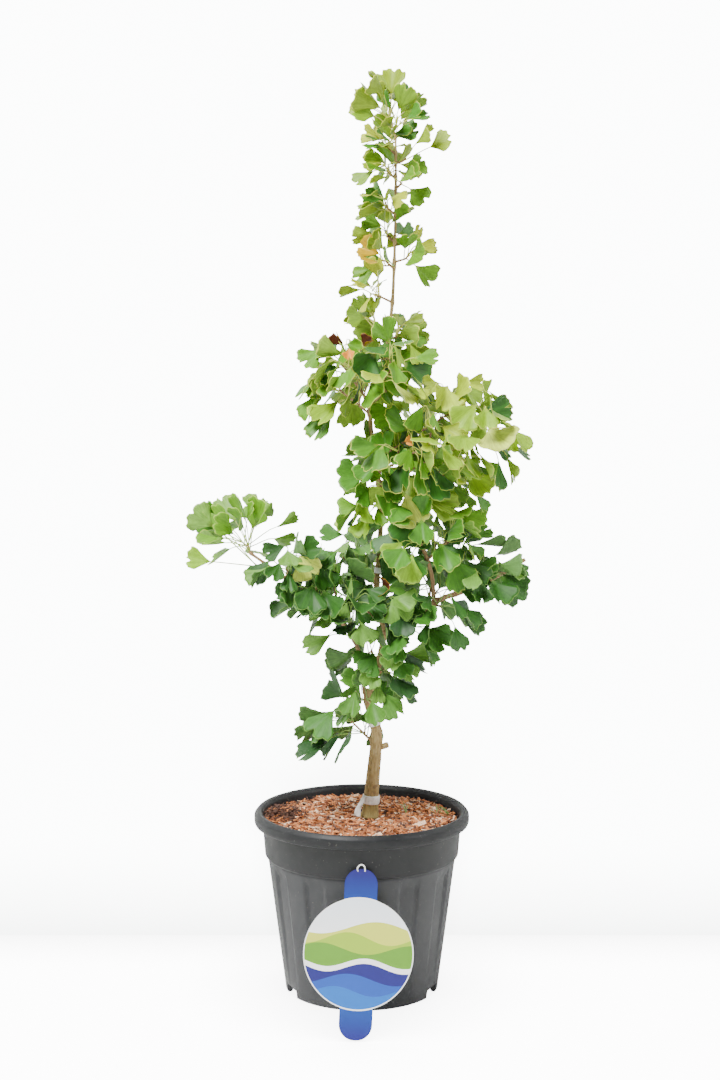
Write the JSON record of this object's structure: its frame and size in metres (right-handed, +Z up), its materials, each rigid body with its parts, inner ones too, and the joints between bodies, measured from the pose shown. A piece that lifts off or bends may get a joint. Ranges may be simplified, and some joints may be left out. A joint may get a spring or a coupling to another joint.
{
  "type": "potted ginkgo tree",
  "caption": "Young tree with fan-shaped leaves on a slim grafted stem, standing in a fluted nursery pot filled with bark compost, with a round picture tag hung on the pot.",
  "frame": {"origin": "centre of the pot's flat underside, where it stands", "axes": "+Z up along the pot's axis, +X to the right and -Y to the front, where the tag hangs"},
  "size_m": [0.4829, 0.383, 1.3103],
  "materials": {
    "bark": "light grey-brown young bark with fine cracks and pale pores",
    "tape": "white grafting tape, slightly soiled",
    "leaf_low": "satin deep green leaves with fine veins",
    "leaf_middle": "satin mid green leaves with fine veins",
    "leaf_high": "satin yellow-green leaves with pale edges",
    "leaf_top": "satin olive-yellow leaves with pale edges",
    "pot_plastic": "moulded charcoal polypropylene, satin, with light scuffs",
    "compost": "loose orange-brown bark chips",
    "tag_plastic": "thin printed plastic in blue, white and green with no lettering"
  },
  "bodies": {
    "root": {"trunk": "bark", "left_bough": "bark", "right_bough": "bark", "right_fork": "bark", "foot_tape": "tape", "graft_tape": "tape", "leader_tape": "tape", "low_left": "leaf_low", "low_scion": "leaf_low", "low_right": "leaf_low", "low_back": "leaf_low", "left_near": "leaf_low", "left_under": "leaf_low", "left_over": "leaf_low", "left_back": "leaf_low", "left_outer": "leaf_low", "left_far": "leaf_middle", "left_tip": "leaf_middle", "mid_left": "leaf_low", "mid_front": "leaf_low", "mid_back": "leaf_low", "mid_high": "leaf_low", "right_near": "leaf_low", "right_under": "leaf_low", "right_over": "leaf_low", "right_back": "leaf_low", "right_outer": "leaf_low", "right_upper": "leaf_low", "fork_right": "leaf_middle", "fork_front": "leaf_middle", "fork_tip": "leaf_middle", "column_left": "leaf_middle", "column_front": "leaf_middle", "column_back": "leaf_middle", "column_right": "leaf_middle", "column_outer": "leaf_middle", "upper_right": "leaf_high", "upper_right_high": "leaf_high", "upper_right_front": "leaf_high", "upper_right_back": "leaf_high", "upper_left": "leaf_high", "upper_left_front": "leaf_high", "upper_left_back": "leaf_high", "upper_mid": "leaf_high", "upper_mid_back": "leaf_high", "top_first": "leaf_top", "top_behind": "leaf_top", "top_second": "leaf_top", "top_right": "leaf_top", "top_third": "leaf_top", "top_fourth": "leaf_top", "top_fifth": "leaf_top", "top_sixth": "leaf_top", "top_front": "leaf_top", "top_seventh": "leaf_top", "top_far": "leaf_top", "top_tuft": "leaf_top", "pot": "pot_plastic", "soil": "compost", "plant_tag": "tag_plastic"}
  },
  "joints": []
}
